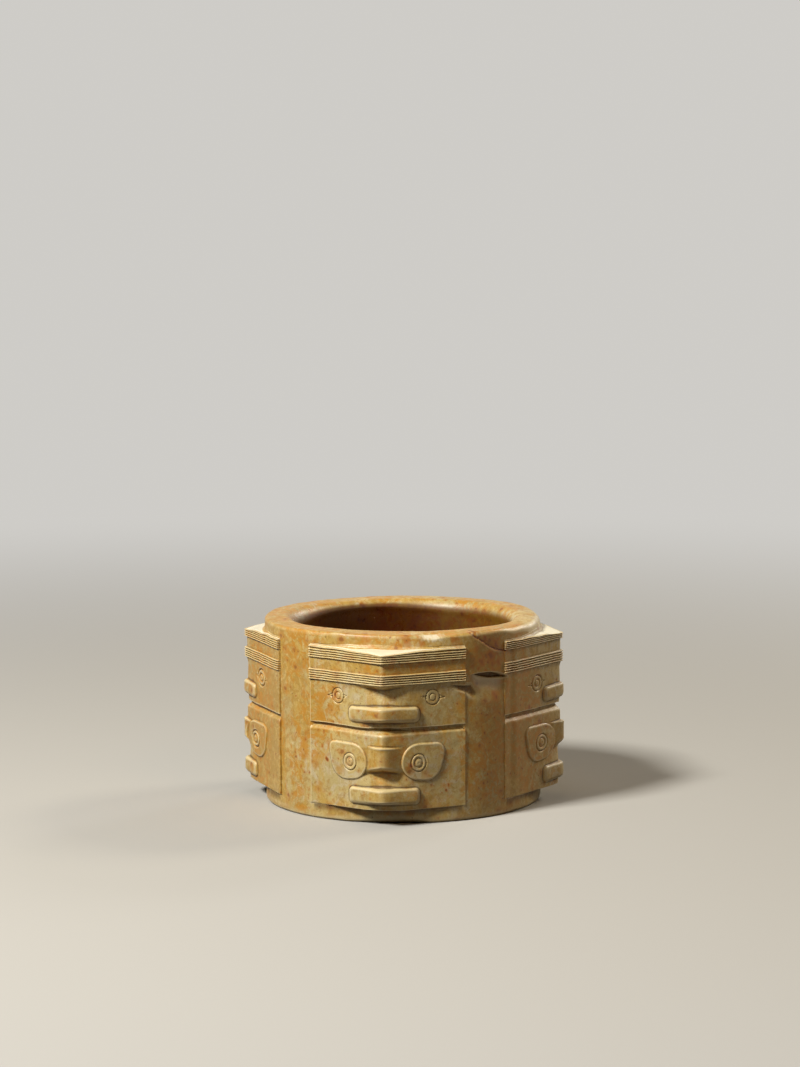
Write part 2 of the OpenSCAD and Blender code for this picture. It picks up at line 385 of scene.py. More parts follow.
def crack_distance(theta, z):
    """Signed distance to the fracture below the rim: positive above it."""
    deg = np.degrees(theta)
    line = np.interp(deg, [p[0] for p in CRACK], [p[1] for p in CRACK])
    line = line + 0.16 * waves(71, 2.4, deg) + 0.1 * waves(72, 0.9, deg)
    beyond = np.maximum(np.maximum(CRACK[0][0] - deg, deg - CRACK[-1][0]), 0.0)
    return (z - line) * 0.75, beyond


def crack_depth(theta, z):
    """Depth of the fracture's line and of the flaked stone above it."""
    d, beyond = crack_distance(theta, z)
    near = np.exp(-(beyond / 0.6) ** 2)
    return near * (0.28 * np.exp(-(d / 0.2) ** 2) + 0.1 * np.exp(-np.abs(d) / 1.2) * (d > 0))


def rim_drop(deg):
    """How far the rim's outer edge lies below the rim: by chips, and by soft wear."""
    chip = np.interp(deg, (-36.0, -32.0, -29.0, -24.5, -18.5, -11.5, -6.0),
                     (0.0, 0.3, 1.0, 1.1, 0.7, 0.3, 0.0))
    worn = 0.8 * smooth(deg, -6.0, 34.0) * (1.0 - smooth(deg, 50.0, 84.0))
    return chip + 0.06 + 0.02 * waves(84, 5.0, deg), worn + 0.06 + 0.06 * waves(83, 16.0, deg)


def foot_rise(deg):
    """How far the foot's outer edge is worn up from the ground."""
    chip = 0.4 * smooth(deg, -62.0, -48.0) * (1.0 - smooth(deg, -34.0, -24.0))
    return np.maximum(chip + 0.06 + 0.06 * waves(85, 20.0, deg), 0.01)


# ---- meshes
def make_piece(name, verts, faces, flat, uv, marks, nodes):
    """A piece from arrays in millimetres, riding on the stone's one body.

    The faces before number flat are shaded smooth. The marks are values at the points,
    which the material reads by name, and the nodes are the CAD nodes it stands for.
    """
    mesh = bpy.data.meshes.new(name)
    mesh.from_pydata((verts * MM).tolist(), [], faces)
    shade = np.ones(len(faces), dtype=bool)
    shade[flat:] = False
    mesh.polygons.foreach_set("use_smooth", shade)
    layer = mesh.uv_layers.new(name="OFBake")
    layer.data.foreach_set("uv", np.concatenate(uv).astype(np.float32).ravel())
    for key, values in marks.items():
        attr = mesh.attributes.new(key, "FLOAT", "POINT")
        attr.data.foreach_set("value", values.astype(np.float32).ravel())
    mesh.validate()
    mesh.update()
    obj = bpy.data.objects.new(name, mesh)
    bpy.context.scene.collection.objects.link(obj)
    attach(obj, "root")
    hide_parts(*nodes)
    mesh.materials.append(STONE)
    return obj


def shade_and_wear_marks(r, k):
    """Cut and edge marks of a height field, from its blur over k cells and over 4 k: dirt and
    painted shade in its hollows, wear and painted highlight on its ridges.
    """
    off = r - box_blur(r, k)
    broad = r - box_blur(r, 4 * k)
    cut = np.clip(-off / 0.19, 0.0, 1.0) * 0.8 + np.clip(-broad / 0.6, 0.0, 1.0) * 0.3
    edge = np.clip(off / 0.14, 0.0, 1.0) * 0.8 + np.clip(broad / 0.5, 0.0, 1.0) * 0.12
    return np.clip(cut, 0.0, 1.0), np.clip(edge, 0.0, 1.0)


def grid_faces(rows, cols):
    """Quads between the rows and columns of a grid of points."""
    i = np.arange(rows - 1)[:, None] * cols + np.arange(cols - 1)[None, :]
    return np.stack([i, i + 1, i + cols + 1, i + cols], axis=-1).reshape(-1, 4)


def block_columns(b):
    """Angles from the corner edge to both ends of the block, and a share for each column.

    The share is 1 on the faces and falls to 0 where the block's end wall meets the tube.
    """
    turn = math.radians(b["turn"])
    halves = []
    for side, channel in zip((-1.0, 1.0), b["sides"]):
        reach = abs(math.radians(channel) - turn)
        # The block's end wall, by distance from the channel's middle line
        lateral = np.array((7.3, 7.12, 7.04, 6.98, 6.94, 6.92, 6.9, 6.86))
        wall = reach - np.arcsin(lateral / 40.35)
        last = FACE_R * (math.tan(TILT) + math.tan(wall[0] - TILT))
        u = steps((0.0, 0), (5.4, 0.17), (20.0, 0.125), (last, 0.26))[1:]
        phi = np.concatenate([turn_at(u[:-1]), wall])
        share = np.concatenate([np.ones(len(u) - 1),
                                (1.0, 0.995, 0.97, 0.88, 0.7, 0.45, 0.2, 0.0)])
        halves.append((side * phi, share))
    phi = np.concatenate([halves[0][0][::-1], [0.0], halves[1][0]])
    share = np.concatenate([halves[0][1][::-1], [1.0], halves[1][1]])
    return phi, share


def local_height(b, z, phi):
    """Height on this block of what lies at height z in the common carving."""
    shift = np.interp(z, LEVELS, np.array(b["levels"]) - np.array(LEVELS))
    fade = smooth(z, 5.0, 9.0)
    return z + shift + fade * (0.07 * waves(b["seed"] + 31, 24.0, along_face(phi), z)
                               + 0.03 * waves(b["seed"] + 32, 6.0, along_face(phi), z))


def block_rows(upper):
    """Heights of a register's rows, closest together where the carving is finest."""
    if upper:
        return steps((26.9, 0), (27.55, 0.13), (27.9, 0.05), (29.2, 0.16), (34.2, 0.13),
                     (38.8, 0.14), (39.9, 0.11), (43.3, 0.068), (46.1, 0.14), (49.4, 0.066))
    return steps((4.5, 0), (4.7, 0.05), (5.8, 0.14), (11.2, 0.125), (12.4, 0.15),
                 (23.4, 0.13), (25.3, 0.15), (26.9, 0.09))


def with_ledge(b, phi, zc, r, z):
    """Adds the ledge: nearly flat, falling outwards, with a soft fillet at the collar."""
    edge_r = r[-1:].copy()
    edge_z = 48.3 + LEDGE_FALL * (46.9 - edge_r) + 0.08 * waves(b["seed"] + 41, 9.0, phi * 45.0)
    edge_z = edge_z + (b["levels"][-1] - 49.1) * 0.5
    z = z + (edge_z - z[-1:]) * smooth(zc, 48.2, 49.4)[:, None]
    fillet = np.minimum(0.9, 0.6 * np.maximum(edge_r - TUBE_R, 0.05))
    flat_in = TUBE_R + fillet
    flat_z = edge_z + LEDGE_FALL * (edge_r - flat_in)

    # The last row of the face is a small bevel below the ledge
    r[-1:] = r[-1:] - 0.07
    z[-1:] = z[-1:] - 0.1
    radii, heights = [r], [z]
    for k in LEDGE_STEPS:
        bump = 0.05 * waves(b["seed"] + 43, 5.0, phi[None, :] * 45.0, k * 7.0) * smooth(k, 0.0, 0.2)
        drop = 0.06 * (1.0 - smooth(k, 0.0, 0.05))
        radii.append(edge_r + (flat_in - edge_r) * k)
        heights.append(edge_z + (flat_z - edge_z) * k + bump - drop)
    for k in FILLET_STEPS:
        inward, up = quarter(k)
        radii.append(flat_in - fillet * inward)
        heights.append(flat_z + fillet * up + 0.25 * k)
    radii.append(np.full_like(edge_r, ROOT_R))
    heights.append(heights[-1] + 0.12)
    return np.concatenate(radii), np.concatenate(heights)


def with_underside(r, z):
    """Adds the underside: nearly flat, with a small fillet at the foot."""
    radii, heights = [], []
    for k, fall in ((1.0, 0.62), (0.93, 0.5), (0.8, 0.36), (0.6, 0.28), (0.4, 0.2),
                    (0.2, 0.12), (0.06, 0.07), (0.015, 0.03)):
        radii.append(r[:1] + (ROOT_R - r[:1]) * k)
        heights.append(z[:1] - fall)
    r[:1] = r[:1] - 0.05
    z[:1] = z[:1] + 0.02
    return np.concatenate(radii + [r]), np.concatenate(heights + [z])


def block_marks(b, upper, zc, phi, share, r, notch):
    """A block's cut, edge and pale marks, from its surface before its ends are drawn in. They carry
    dirt and painted shade, wear and painted highlights, and the ledge's painted highlight.
    """
    cut, edge = shade_and_wear_marks(r, 5)
    face = slice(0, len(zc)) if upper else slice(len(r) - len(zc), len(r))
    # Painted shade, with some dirt, darkens the groove between the registers
    groove = smooth(zc, 26.3, 26.8) * (1.0 - smooth(zc, 27.6, 27.75))
    cut[face] = np.maximum(cut[face], 0.6 * groove[:, None])
    pale_and_highlight = np.zeros_like(r)
    # The ledge's top gets little dirt and is painted pale, a painted highlight where the light
    # falls on it
    if upper:
        cut[len(zc):] *= 0.15
        pale_and_highlight[len(zc) - 1:-len(FILLET_STEPS) - 1] = 1.0

    # Painted shade lies along a block's ends, but not along the raised end that faces the light,
    # whose arris gets a painted highlight
    raised = b["raised_end"] > 0.0
    lit_end = (phi < 0.0) & raised
    dirt_and_shade = np.where(lit_end, 0.0, 0.85) * smooth(share, 0.9, 0.4)
    cut = np.maximum(cut, dirt_and_shade[None, :])
    cut[:, lit_end & (share < 0.999)] = 0.0
    arris_highlight = smooth(-along_face(phi), 24.9, 25.1) * raised * 0.95
    edge = np.maximum(edge, arris_highlight[None, :])
    # Painted shade in the saw mark's wedge
    if upper:
        cut[face] = np.maximum(cut[face], 0.9 * smooth(notch, 0.1, 0.4))
    return cut, edge, pale_and_highlight


def closed_block(theta, r, z):
    """Points, faces and UVs of a register, and the number of its carved faces.

    A plain back inside the tube's wall closes the solid. In the UV square the carved
    faces lie above 0.11, the back's three strips at the bottom and the ends between.
    """
    rows, cols = r.shape
    outer = place(theta[None, :], r, z).reshape(-1, 3)
    back_low = place(theta, np.full(cols, BACK_R), z[0])
    back_top = place(theta, np.full(cols, BACK_R), z[-1])
    verts = np.concatenate([outer, back_low, back_top])
    low = rows * cols + np.arange(cols)
    top = low + cols
    first_row, last_row = np.arange(cols), (rows - 1) * cols + np.arange(cols)
    carved = grid_faces(rows, cols)
    faces = carved.tolist()

    across = np.linspace(0.01, 0.99, cols)
    span = np.concatenate([[0.0], np.cumsum(np.abs(np.diff(z.mean(axis=1)))
                                            + np.abs(np.diff(r.mean(axis=1))))])
    up = 0.11 + 0.88 * span / span[-1]
    grid = np.stack(np.broadcast_arrays(across[None, :], up[:, None]), axis=-1).reshape(-1, 2)
    uv = [grid[carved].reshape(-1, 2)]
    for k, (a, c) in enumerate(((low, first_row), (last_row, top), (top, low))):
        faces += np.stack([a[:-1], a[1:], c[1:], c[:-1]], axis=-1).tolist()
        below = np.full(cols - 1, 0.01 + 0.03 * k)
        above = below + 0.02
        quad = [np.stack([x, v], -1) for x, v in ((across[:-1], below), (across[1:], below),
                                                  (across[1:], above), (across[:-1], above))]
        uv.append(np.stack(quad, axis=1).reshape(-1, 2))
    for col, x0 in ((0, 0.01), (cols - 1, 0.51)):
        loop = [row * cols + col for row in range(rows)] + [int(top[col]), int(low[col])]
        if col == 0:
            loop = loop[::-1]
        pts = verts[loop]
        height = (pts[:, 2] - pts[:, 2].min()) / np.ptp(pts[:, 2])
        depth = (np.hypot(pts[:, 0], pts[:, 1]) - BACK_R) / (ROOT_R - BACK_R)
        uv.append(np.stack([x0 + 0.47 * height, 0.101 + 0.006 * depth], axis=-1))
        faces.append(loop)
    return verts, faces, uv, len(carved)


def block_piece(b, upper):
    """One register of a block, as a closed piece that stands for its CAD nodes."""
    phi, share = block_columns(b)
    theta = math.radians(b["turn"]) + phi
    zc = block_rows(upper)
    level = np.tile(zc[:, None], (1, len(phi)))
    z = local_height(b, level, phi[None, :])
    notch = wedge_mark(theta[None, :], z)
    r = block_radius(b, phi[None, :], level, upper)
    r = r - saw_mark(theta[None, :], z) - crack_depth(theta[None, :], z)
    r = np.maximum(r, DEEPEST_R)
    r, z = with_ledge(b, phi, zc, r, z) if upper else with_underside(r, z)
    cut, edge, pale_and_highlight = block_marks(b, upper, zc, phi, share, r, notch)
    r = ROOT_R + (r - ROOT_R) * share[None, :]
    verts, faces, uv, carved = closed_block(theta, r, z)

    back = np.zeros(2 * len(phi))
    marks = {"cut": np.concatenate([cut.ravel(), back]),
             "edge": np.concatenate([edge.ravel(), back]),
             "stain": stain_marks(verts), "warm": warm_marks(verts),
             "pale_and_highlight": np.concatenate([pale_and_highlight.ravel(), back])}
    kinds = ("upper_register", "ridge_bands", "upper_nose") if upper else (
        "lower_register", "lower_nose", "brow", "eyes")
    nodes = [b["name"] + "_" + kind for kind in kinds]
    name = b["name"] + ("_upper_stone" if upper else "_lower_stone")
    return make_piece(name, verts, faces, carved, uv, marks, nodes)


FRONT = -45.0                       # direction of the front block's corner edge
MEAN_R = 42.0                       # mean radius of the outside, to turn angles into lengths

# Rust stains on the stone: (angle in degrees, height, radius, strength)
STAINS = (
    (FRONT - 20.3, 36.0, 0.75, 0.9), (FRONT + 10.0, 17.0, 0.9, 0.85),
    (FRONT - 26.0, 25.0, 0.45, 0.8), (FRONT - 27.0, 20.8, 0.5, 0.8),
    (FRONT - 24.5, 17.2, 0.6, 0.9), (FRONT + 24.5, 9.3, 0.5, 1.0),
    (FRONT + 25.6, 10.6, 0.35, 0.8), (-4.0, 44.5, 1.6, 0.75), (0.5, 46.0, 1.9, 0.8),
    (3.0, 49.0, 1.5, 0.8), (2.5, 35.0, 1.1, 0.7), (-41.0, 47.0, 0.8, 0.8),
    (FRONT + 1.0, 15.9, 1.1, 0.55), (-36.0, 51.5, 1.6, 0.6), (-52.0, 51.6, 1.5, 0.5),
    (-2.5, 51.0, 1.2, 0.75), (-6.5, 48.5, 1.3, 0.55), (4.5, 44.0, 1.2, 0.7),
    (-8.0, 43.5, 1.0, 0.5), (3.5, 33.8, 0.9, 0.8), (-30.0, 50.6, 0.9, 0.6),
    (-17.0, 51.5, 1.0, 0.6), (-60.0, 47.0, 0.9, 0.5), (-48.0, 38.6, 1.0, 0.5),
    (-38.0, 24.6, 0.9, 0.5), (-81.0, 22.0, 0.7, 0.8), (-84.0, 14.0, 0.5, 0.8),
    (24.0, 28.5, 1.2, 0.8), (160.0, 30.0, 0.8, 0.8), (118.0, 14.0, 0.7, 0.8),
    (96.0, 38.0, 0.9, 0.7), (203.0, 20.0, 0.6, 0.8), (150.0, 44.0, 0.7, 0.7),
    (70.0, 12.0, 0.8, 0.8),
)

# Where the stone is warmer or greyer: (angle, height, half width and height, amount). The entries
# at -112 and 246 degrees darken the left block's face as painted shade.
WARMTH = (
    (-55.0, 51.0, 13.0, 3.0, 0.3), (-88.0, 40.0, 9.0, 14.0, 0.3),
    (-2.0, 46.0, 8.0, 6.0, 1.2), (-2.0, 16.0, 9.0, 16.0, 0.3),
    (-45.0, 31.5, 9.0, 2.6, 0.3), (-45.0, 8.5, 9.0, 2.6, 0.3),
    (-45.0, 19.0, 3.6, 4.0, 0.4), (-45.0, 44.0, 22.0, 2.0, 0.35),
    (-25.0, 14.0, 13.0, 9.0, -0.2), (-26.0, 34.0, 10.0, 7.0, 0.25),
    (-66.0, 14.0, 10.0, 9.0, -0.35), (15.0, 24.0, 12.0, 24.0, 0.85),
    (-28.0, 44.4, 10.0, 2.0, 0.8), (-112.0, 26.0, 14.0, 26.0, 0.9),
    (-60.0, 2.0, 20.0, 2.5, 0.3), (45.0, 49.0, 16.0, 4.0, -0.35),
    (150.0, 30.0, 14.0, 16.0, 0.3), (110.0, 20.0, 10.0, 14.0, -0.25),
    (200.0, 12.0, 12.0, 9.0, 0.3), (246.0, 26.0, 10.0, 30.0, 0.2),
    (90.0, 36.0, 6.0, 14.0, 0.4), (180.0, 24.0, 6.0, 18.0, 0.35),
    (225.0, 40.0, 14.0, 9.0, 0.2),
)


def degrees_off(deg, turn):
    """Signed angle from a direction, from -180 to 180 degrees."""
    return (deg - turn + 180.0) % 360.0 - 180.0


def warm_marks(verts):
    """How warm the stone's colour is at each point: 0.5 is the usual, and more is warmer."""
    theta = np.degrees(np.arctan2(verts[:, 1], verts[:, 0]))
    total = np.full(len(verts), 0.5)
    for turn, height, wide, tall, amount in WARMTH:
        away = np.radians(degrees_off(theta, turn)) * MEAN_R / wide
        d = away ** 2 + ((verts[:, 2] - height) / tall) ** 2
        total = total + amount * np.exp(-d)
    return np.clip(total, 0.0, 1.3)


def stain_marks(verts):
    """Strength of the rust at each point: stains, the fracture and a hair crack below it."""
    theta = np.degrees(np.arctan2(verts[:, 1], verts[:, 0]))
    outside = np.hypot(verts[:, 0], verts[:, 1]) > TUBE_R - 2.0
    z = verts[:, 2]
    ragged = 1.0 + 0.45 * waves(91, 1.3, verts[:, 0], verts[:, 1], z)
    mark = np.zeros(len(verts))
    for turn, height, size, strength in STAINS:
        away = np.radians(degrees_off(theta, turn)) * MEAN_R
        d = np.hypot(away, (z - height) * 0.8) * ragged / size
        mark = np.maximum(mark, strength * np.exp(-d ** 2 * 1.1) * outside)
    d, beyond = crack_distance(np.radians(theta), z)
    near = np.exp(-beyond ** 2) * outside
    mark = np.maximum(mark, near * np.exp(-(d / 0.26) ** 2))
    mark = np.maximum(mark, 0.35 * near * np.exp(-np.abs(d) / 2.0))
    hair = np.exp(-(np.radians(theta - 1.3 - 0.2 * np.sin(z)) * 40.0 / 0.16) ** 2)
    hair = hair * smooth(z, 41.0, 41.8) * (1.0 - smooth(z, 47.2, 48.0))
    return np.maximum(mark, 0.8 * hair * outside)


def tube_columns():
    """Angles round the tube: finer where the front is chipped, sawn and cracked."""
    return np.radians(steps((-62.0, 0), (-37.0, 0.75), (-20.0, 0.45), (-11.0, 0.5),
                            (10.0, 0.38), (14.0, 0.5), (80.0, 0.9), (298.0, 0.95))[:-1])


def in_block(theta):
    """1 well inside a block's reach, 0 in the channels."""
    inside = np.ones_like(theta)
    for channel in CHANNELS:
        off = np.abs(degrees_off(np.degrees(theta), channel))
        lateral = np.where(off < 60.0, TUBE_R * np.sin(np.radians(np.minimum(off, 60.0))), 40.0)
        inside = np.minimum(inside, smooth(lateral, CHANNEL_HALF + 0.35, CHANNEL_HALF + 1.2))
    return inside


def tube_rows(theta):
    """Radius and height of each row of the tube, and its outer wall as if it had no blocks.

    The rows run up the outer wall, over the rim, down the bore and back under the foot.
    """
    deg = np.degrees(theta)
    covered = in_block(theta)
    level = np.zeros(len(theta))
    (chip, worn), rise = rim_drop(deg), foot_rise(deg)
    drop = chip + worn
    rim_top = HEIGHT - 0.17 + 0.09 * waves(87, 60.0, deg) - 0.08 * drop
    top_z = rim_top - 0.75 * chip - 0.15 * worn
    outer_edge = 0.45 + 2.1 * np.clip(worn, 0.0, 2.0)
    foot_edge = 0.8 + rise
    radii, heights, open_r = [], [], []

    # Outer wall, from the foot's rounded edge to the rim's
    for k in np.linspace(0.0, 1.0, FOOT_ROWS):
        out, up = quarter(k)
        radii.append(TUBE_R - foot_edge * (1.0 - out))
        heights.append(rise * 0.6 + foot_edge * up)
    wall = steps((1.4, 0), (4.4, 0.5), (6.0, 0.5), (30.0, 1.0), (38.5, 0.5), (39.2, 0.3),
                 (41.8, 0.1), (46.2, 0.4), (49.6, 0.28), (52.0, 0.24))
    for z0 in wall[1:]:
        z = z0 + level
        z = z - smooth(z, 48.5, 52.0) * (52.0 - np.minimum(52.0, top_z - outer_edge - 0.1))
        z = z + (1.0 - smooth(z, 1.4, 4.4)) * rise * 0.8
        r = TUBE_R + 0.06 * waves(88, 18.0, deg * 0.7, z) + 0.02 * waves(89, 5.0, deg * 0.7, z)
        r = r - 0.12 * np.clip(drop, 0.0, 2.0) * smooth(z, 49.5, 52.0)
        r = r - saw_mark(theta, z) - crack_depth(theta, z)
        under = covered * smooth(z, 4.55, 5.2) * (1.0 - smooth(z, 49.2, 49.9))
        open_r.append(r)
        radii.append(r + (HIDDEN_R - r) * under)
        heights.append(z)
    last_r, last_z = radii[-1], heights[-1]
    for k in np.linspace(0.12, 1.0, EDGE_ROWS):
        up, inward = quarter(k)
        radii.append(last_r - outer_edge * inward * 1.3)
        heights.append(last_z + (top_z - last_z) * up)

    # Rim: rises softly from a worn outer edge, then rounds into the bore
    edge_r, edge_z = radii[-1], heights[-1]
    bore = BORE_R + 0.12 * waves(90, 70.0, deg)
    mouth = 2.0 + 1.3 * smooth(np.cos(np.radians(deg - 60.0)), -0.3, 0.8)
    mouth = mouth + 2.2 * np.exp(-((deg - 214.0) / 24.0) ** 2)
    mouth = mouth - 0.9 * np.exp(-((deg + 40.0) / 45.0) ** 2)
    inner_r = bore + mouth
    for k in np.linspace(0.08, 1.0, RIM_ROWS):
        z = edge_z + (rim_top - edge_z) * smooth(k, 0.0, 0.6)
        radii.append(edge_r + (inner_r - edge_r) * k)
        heights.append(z + 0.03 * waves(92, 6.0, deg * 0.7, k * 6.0) * math.sin(math.pi * k))
    for k in np.linspace(0.1, 1.0, MOUTH_ROWS):
        inward, down = quarter(k)
        radii.append(inner_r - mouth * inward)
        heights.append(rim_top - 1.1 * mouth * down)

    # Bore, its lower mouth and the flat of the foot
    start = heights[-1] - 0.7
    for k in np.linspace(0.0, 1.0, BORE_ROWS):
        z = start + (2.4 - start) * k
        radii.append(bore + 0.05 * waves(93, 16.0, deg * 0.6, z)
                     + 0.2 * smooth(np.abs(z - 26.0), 0.0, 26.0) - 0.1)
        heights.append(z)
    lower_mouth = 1.3
    for k in np.linspace(0.0, 0.85, 6):
        down, out = quarter(k)
        radii.append(bore + lower_mouth * out + 0.05)
        heights.append(lower_mouth * (1.0 - down) + 0.02 + level)
    foot_in = TUBE_R - foot_edge
    for k in np.linspace(0.04, 0.94, 12):
        radii.append(bore + lower_mouth + (foot_in - bore - lower_mouth) * k)
        heights.append(0.02 + rise * 0.6 * smooth(k, 0.5, 1.0))
    return np.array(radii), np.array(heights), open_r


def tube_faces(deg, r, z):
    """Quads that join the rows into a ring all round, and their UVs, laid out flat."""
    rows, cols = r.shape
    i, j = np.meshgrid(np.arange(rows), np.arange(cols), indexing="ij")
    i2, j2 = (i + 1) % rows, (j + 1) % cols
    faces = np.stack([i * cols + j, i * cols + j2, i2 * cols + j2, i2 * cols + j],
                     axis=-1).reshape(-1, 4)
    step = np.hypot(np.diff(r.mean(axis=1), append=r[0].mean()),
                    np.diff(z.mean(axis=1), append=z[0].mean()))
    v = 0.005 + 0.99 * np.concatenate([[0.0], np.cumsum(step)]) / step.sum()
    x = 0.005 + 0.99 * np.append(deg - deg[0], 360.0) / 360.0
    corners = [np.stack(pair, -1) for pair in ((x[j], v[i]), (x[j + 1], v[i]),
                                               (x[j + 1], v[i + 1]), (x[j], v[i + 1]))]
    return faces, np.stack(corners, axis=-2).reshape(-1, 2)


def tube_marks(theta, r, z, open_r, verts):
    """The tube's marks. The wall under the blocks is marked as if it lay open."""
    deg = np.degrees(theta)
    wall_end = FOOT_ROWS + len(open_r)
    rim_start = wall_end + EDGE_ROWS
    mouth_start = rim_start + RIM_ROWS
    bore_start = mouth_start + MOUTH_ROWS
    outer = (np.arange(len(r)) < rim_start)[:, None]
    seen_r = r.copy()
    seen_r[FOOT_ROWS:wall_end] = open_r
    seen_r[rim_start:] = seen_r[rim_start - 1]
    cut, edge = shade_and_wear_marks(seen_r, 3)

    # The rim's edge is worn smooth and clean, except where the fracture runs into it
    cracked = smooth(deg, -17.0, -12.0) * (1.0 - smooth(deg, 9.0, 12.0))
    cut = cut * (1.0 - (r > BORE_R + 3.0) * smooth(z, 49.8, 50.5) * (1.0 - cracked)[None, :])
    sawn = saw_mark(theta[None, :], z) * outer
    wedge = wedge_mark(theta[None, :], z)
    # Painted shade in the saw slot and the wedge, and a painted shadow of the blocks on the foot
    # below them
    cut = np.maximum(cut, smooth(sawn, 1.8, 2.4))
    cut = np.maximum(cut, 0.8 * smooth(wedge, 0.1, 0.4) * outer)
    cut = np.maximum(cut, 0.9 * in_block(theta)[None, :] * outer * smooth(z, 0.8, 3.8) * (z < 4.6))

    # Pale where the rim is bruised, and on the saw mark's bowl, partly clean stone and partly a
    # painted highlight on its upturned face; none in the wedge, which keeps its painted shade
    bruise = np.hypot((deg[None, :] + 25.5) * 0.26, (z - 52.4))
    bruise = bruise + 0.45 * waves(95, 1.1, deg[None, :], z)
    bowl = smooth(sawn, 0.25, 1.3) * smooth(sawn, 1.9, 1.75)
    bowl = bowl * (1.0 - smooth(np.abs(deg * 0.7 + 0.3), 4.4, 7.4))[None, :]
    pale_and_highlight = np.maximum(0.75 * smooth(bruise, 1.6, 0.2) * (r > TUBE_R - 3.0), 0.85 * bowl)
    pale_and_highlight = pale_and_highlight * (1.0 - smooth(wedge, 0.0, 0.3))

    # The bore is browner, partly its own colour and partly painted shade, with more painted shade
    # on its far side
    bore_brown_and_shade = np.zeros(len(r))
    bore_brown_and_shade[mouth_start:bore_start] = smooth(np.arange(float(MOUTH_ROWS)), 3.0, 10.5)
    bore_brown_and_shade[bore_start:bore_start + BORE_ROWS] = 1.0
    far = 0.6 + 0.4 * np.exp(-(np.radians(degrees_off(deg, 158.0)) / 0.75) ** 2)
    # The rim's top is warmer and darker, partly its colour and partly painted shade against the
    # light it gets
    warm = warm_marks(verts) + 0.3 * smooth(z, 52.3, 53.0).ravel()
    return {"cut": cut, "edge": edge, "stain": stain_marks(verts), "warm": warm,
            "pale_and_highlight": pale_and_highlight, "bore": bore_brown_and_shade[:, None] * far[None, :]}


def tube_piece():
    """The tube, as one closed piece."""
    theta = tube_columns()
    r, z, open_r = tube_rows(theta)
    verts = place(theta[None, :], r, z).reshape(-1, 3)
    faces, uv = tube_faces(np.degrees(theta), r, z)
    marks = tube_marks(theta, r, z, open_r, verts)
    return make_piece("tube_stone", verts, faces.tolist(), len(faces), [uv], marks, ["tube"])


# ---- material
def linear(hex_colour):
    """Linear RGBA of a colour written as #rrggbb."""
    out = []
    for k in (1, 3, 5):
        c = int(hex_colour[k:k + 2], 16) / 255.0
        out.append(c / 12.92 if c <= 0.04045 else ((c + 0.055) / 1.055) ** 2.4)
    return (*out, 1.0)


class Graph:
    """Adds shader nodes by kind, with inputs set or linked by name, or by number as i0."""

    def __init__(self, material):
        self.tree = material.node_tree

    def add(self, kind, out=0, props=None, **inputs):
        node = self.tree.nodes.new("ShaderNode" + kind)
        for key, value in (props or {}).items():
            setattr(node, key, value)
        for key, value in inputs.items():
            numbered = key[0] == "i" and key[1:].isdigit()
            socket = node.inputs[int(key[1:]) if numbered else key.replace("_", " ")]
            if isinstance(value, bpy.types.NodeSocket):
                self.tree.links.new(value, socket)
            else:
                socket.default_value = value
        return node.outputs[out] if len(node.outputs) else node

    def math(self, op, a, b=0.0, clamp=False):
        return self.add("Math", props={"operation": op, "use_clamp": clamp}, i0=a, i1=b)

    def times(self, a, b):
        return self.math("MULTIPLY", a, b)

    def noise(self, coords, scale, detail=3.0, rough=0.5, warp=0.0):
        return self.add("TexNoise", Vector=coords, Scale=scale, Detail=detail,
                        Roughness=rough, Distortion=warp)

    def ramp(self, value, low, high, to_low=0.0, to_high=1.0):
        return self.add("MapRange", props={"interpolation_type": "SMOOTHSTEP"}, Value=value,
                        From_Min=low, From_Max=high, To_Min=to_low, To_Max=to_high)

    def mix(self, factor, a, b, blend="MIX"):
        return self.add("Mix", out=2, props={"data_type": "RGBA", "blend_type": blend},
                        i0=factor, i6=a, i7=b)

    def tint(self, colour, mask, amount, hex_colour, blend="MIX"):
        """Mixes in a colour where the mask is 1, by at most the amount."""
        return self.mix(self.times(mask, amount), colour, linear(hex_colour), blend)

    def stretch(self, coords, x, y, z):
        return self.add("VectorMath", props={"operation": "MULTIPLY"}, i0=coords, i1=(x, y, z))

    def mark(self, name):
        return self.add("Attribute", out=2, props={"attribute_name": name})


